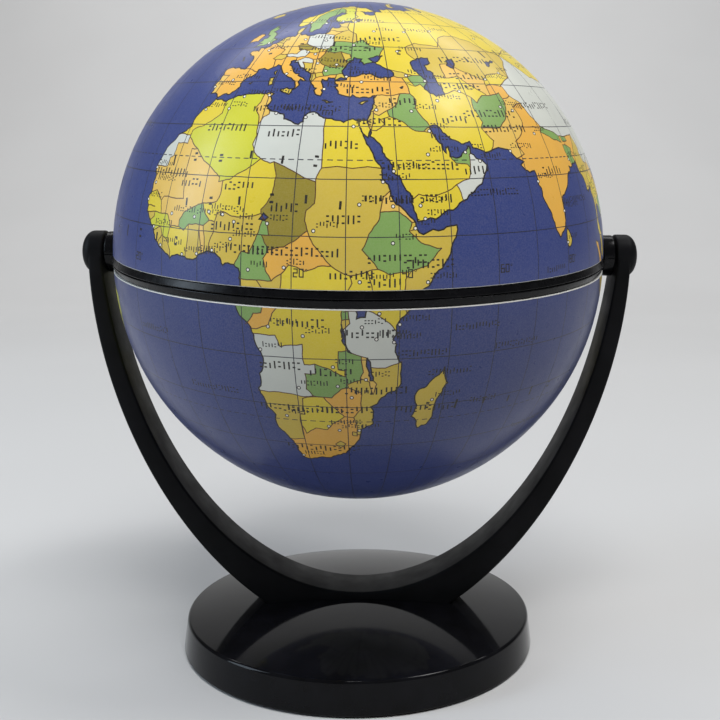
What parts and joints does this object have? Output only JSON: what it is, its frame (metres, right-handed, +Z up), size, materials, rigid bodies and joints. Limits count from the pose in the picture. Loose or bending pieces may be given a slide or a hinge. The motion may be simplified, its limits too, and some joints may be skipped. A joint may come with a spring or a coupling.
{
  "type": "desktop globe on stand",
  "caption": "Small desk globe: a ball of two printed hemispheres spins in a slim ring that tilts between the tips of a U-shaped fork on a round weighted base.",
  "frame": {"origin": "middle of the foot pad's underside, directly below the centre of the ball", "axes": "+Z up, +X along the ring's pivot axis towards the right-hand knob, +Y towards the back"},
  "size_m": [0.1162, 0.1, 0.1326],
  "materials": {
    "gloss_black": "mirror-gloss injection-moulded black plastic",
    "satin_black": "satin moulded black plastic",
    "ring_black": "semi-gloss black plastic",
    "inner_black": "matt black moulding",
    "white_plastic": "white moulded plastic",
    "printed_skin": "glossy printed map film",
    "foam": "closed-cell foam",
    "iron": "bare steel plate",
    "zinc_steel": "zinc-plated steel"
  },
  "bodies": {
    "stand": {"base_cover": "gloss_black", "steel_weight": "iron", "bottom_plate": "inner_black", "plate_screw_1": "zinc_steel", "plate_screw_2": "zinc_steel", "plate_screw_3": "zinc_steel", "foot_pad": "foam", "fork": "satin_black", "fork_screw_left": "zinc_steel", "fork_screw_right": "zinc_steel"},
    "ring": {"ring_upper_half": "ring_black", "ring_lower_half": "ring_black"},
    "globe": {"north_shell": "white_plastic", "south_shell": "white_plastic", "north_map_skin": "printed_skin", "south_map_skin": "printed_skin", "north_hub_disc": "white_plastic", "south_hub_disc": "white_plastic", "hub_screw_1": "zinc_steel", "hub_screw_2": "zinc_steel", "hub_screw_3": "zinc_steel"}
  },
  "joints": [
    {"name": "ring_tilt", "type": "hinge", "parent": "stand", "child": "ring", "pos_m": [0, 0, 0.082], "axis": [1, 0, 0], "continuous": true},
    {"name": "globe_spin", "type": "hinge", "parent": "ring", "child": "globe", "pos_m": [0, 0, 0.082], "axis": [0, -0.1392, 0.9903], "continuous": true}
  ]
}
